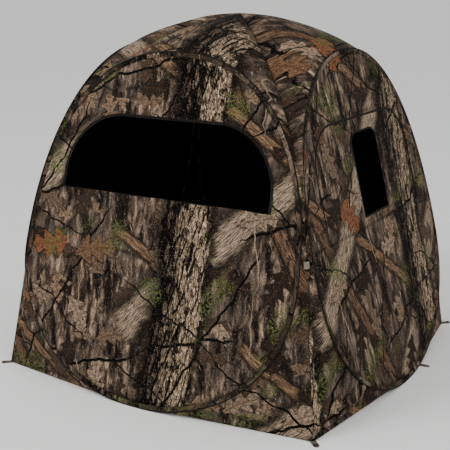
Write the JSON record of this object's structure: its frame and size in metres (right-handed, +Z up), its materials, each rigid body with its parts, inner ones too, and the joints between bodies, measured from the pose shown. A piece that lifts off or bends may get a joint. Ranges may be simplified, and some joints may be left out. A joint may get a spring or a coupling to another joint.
{
  "type": "pop up ground blind",
  "caption": "Square pop up ground blind: leaning spring steel hoop in each wall, domed roof, corner gussets, arched front window, zip-in side windows with shooting slits, zipped door.",
  "frame": {"origin": "on the ground under the middle of the blind", "axes": "+Z up, the front wall with the open window faces -Y, the right wall is +X"},
  "size_m": [1.9312, 1.8592, 1.676],
  "materials": {
    "fabric_camo": "printed woven polyester, matt",
    "fabric_black": "black coated polyester, matt",
    "webbing": "woven webbing",
    "spring_steel": "blued spring steel",
    "eyelet": "dark plated steel",
    "zipper_tape": "zipper tape and coil",
    "zipper_pull": "black lacquer"
  },
  "bodies": {
    "front_side": {"front_wall": "fabric_camo", "front_hoop": "spring_steel", "front_sleeve": "webbing", "front_ferrule": "spring_steel", "front_roof_gore": "fabric_camo", "front_gusset_left": "fabric_camo", "front_gusset_right": "fabric_camo", "front_corner_tabs": "webbing", "front_eyelets": "eyelet", "front_window_tape": "zipper_tape"},
    "front_cover": {"front_window_cover": "fabric_black"},
    "front_slider": {"front_window_slider": "zipper_pull"},
    "right_side": {"right_wall": "fabric_camo", "right_hoop": "spring_steel", "right_sleeve": "webbing", "right_ferrule": "spring_steel", "right_roof_gore": "fabric_camo", "right_gusset_left": "fabric_camo", "right_gusset_right": "fabric_camo", "right_window_tape": "zipper_tape", "right_stake_loop": "webbing"},
    "right_window": {"right_window_panel": "fabric_camo"},
    "right_cover": {"right_slit_cover": "fabric_black"},
    "right_slider": {"right_window_slider": "zipper_pull"},
    "back_side": {"back_wall": "fabric_camo", "back_hoop": "spring_steel", "back_sleeve": "webbing", "back_ferrule": "spring_steel", "back_roof_gore": "fabric_camo", "back_gusset_left": "fabric_camo", "back_gusset_right": "fabric_camo", "back_corner_tabs": "webbing", "back_eyelets": "eyelet", "back_door_tape": "zipper_tape"},
    "door": {"back_door": "fabric_camo"},
    "door_slider": {"back_door_slider": "zipper_pull"},
    "left_side": {"left_wall": "fabric_camo", "left_hoop": "spring_steel", "left_sleeve": "webbing", "left_ferrule": "spring_steel", "left_roof_gore": "fabric_camo", "left_gusset_left": "fabric_camo", "left_gusset_right": "fabric_camo", "left_window_tape": "zipper_tape", "left_stake_loop": "webbing"},
    "left_window": {"left_window_panel": "fabric_camo"},
    "left_cover": {"left_slit_cover": "fabric_black"},
    "left_slider": {"left_window_slider": "zipper_pull"}
  },
  "joints": [
    {"name": "right_fold", "type": "hinge", "parent": "front_side", "child": "right_side", "pos_m": [0.771, -0.771, 0.6], "axis": [-0.2357, 0.2357, 0.9428], "range_deg": [0, 75], "stiffness_Nm_per_rad": 60, "deforming": ["front_roof_gore", "front_gusset_left", "front_gusset_right", "right_roof_gore", "right_gusset_left", "right_gusset_right"]},
    {"name": "left_fold", "type": "hinge", "parent": "front_side", "child": "left_side", "pos_m": [-0.776, -0.776, 0.6], "axis": [0.2357, 0.2357, 0.9428], "range_deg": [0, 73.33], "stiffness_Nm_per_rad": 60, "deforming": ["left_roof_gore", "left_gusset_left", "left_gusset_right"]},
    {"name": "back_fold", "type": "hinge", "parent": "right_side", "child": "back_side", "pos_m": [0.776, 0.776, 0.6], "axis": [-0.2357, -0.2357, 0.9428], "range_deg": [-73.33, 0], "stiffness_Nm_per_rad": 60, "deforming": ["back_roof_gore", "back_gusset_left", "back_gusset_right"]},
    {"name": "front_cover_hinge", "type": "hinge", "parent": "front_side", "child": "front_cover", "pos_m": [0, -0.70013, 0.88408], "axis": [1, 0, 0], "range_deg": [0, 165]},
    {"name": "front_slider_travel", "type": "hinge", "parent": "front_side", "child": "front_slider", "pos_m": [0.25, -0.68626, 0.95895], "axis": [0, 0.9701, -0.2425], "range_deg": [-88, 0]},
    {"name": "right_window_hinge", "type": "hinge", "parent": "right_side", "child": "right_window", "pos_m": [0.73894, 0, 0.74535], "axis": [0, -1, 0], "range_deg": [0, 172]},
    {"name": "right_cover_hinge", "type": "hinge", "parent": "right_window", "child": "right_cover", "pos_m": [0.7728, -0.134, 0.5992], "axis": [-0.2425, 0, 0.9701], "range_deg": [-178, 0]},
    {"name": "right_slider_travel", "type": "slide", "parent": "right_side", "child": "right_slider", "axis": [-0.2425, 0, 0.9701], "range_m": [0, 0.225]},
    {"name": "left_window_hinge", "type": "hinge", "parent": "left_side", "child": "left_window", "pos_m": [-0.73894, 0, 0.74535], "axis": [0, 1, 0], "range_deg": [0, 172]},
    {"name": "left_cover_hinge", "type": "hinge", "parent": "left_window", "child": "left_cover", "pos_m": [-0.7728, 0.134, 0.5992], "axis": [0.2425, 0, 0.9701], "range_deg": [0, 180]},
    {"name": "left_slider_travel", "type": "slide", "parent": "left_side", "child": "left_slider", "axis": [0.2425, 0, 0.9701], "range_m": [0, 0.225]},
    {"name": "door_hinge", "type": "hinge", "parent": "back_side", "child": "door", "pos_m": [0.32, 0.77668, 0.60017], "axis": [0, -0.2425, 0.9701], "range_deg": [-105, 0]},
    {"name": "door_slider_travel", "type": "slide", "parent": "back_side", "child": "door_slider", "axis": [0, -0.2425, 0.9701], "range_m": [0, 0.79]}
  ],
  "couplings": [
    {"joint": "left_fold", "follows": "right_fold", "ratio": 0.975},
    {"joint": "back_fold", "follows": "right_fold", "ratio": -0.975}
  ]
}
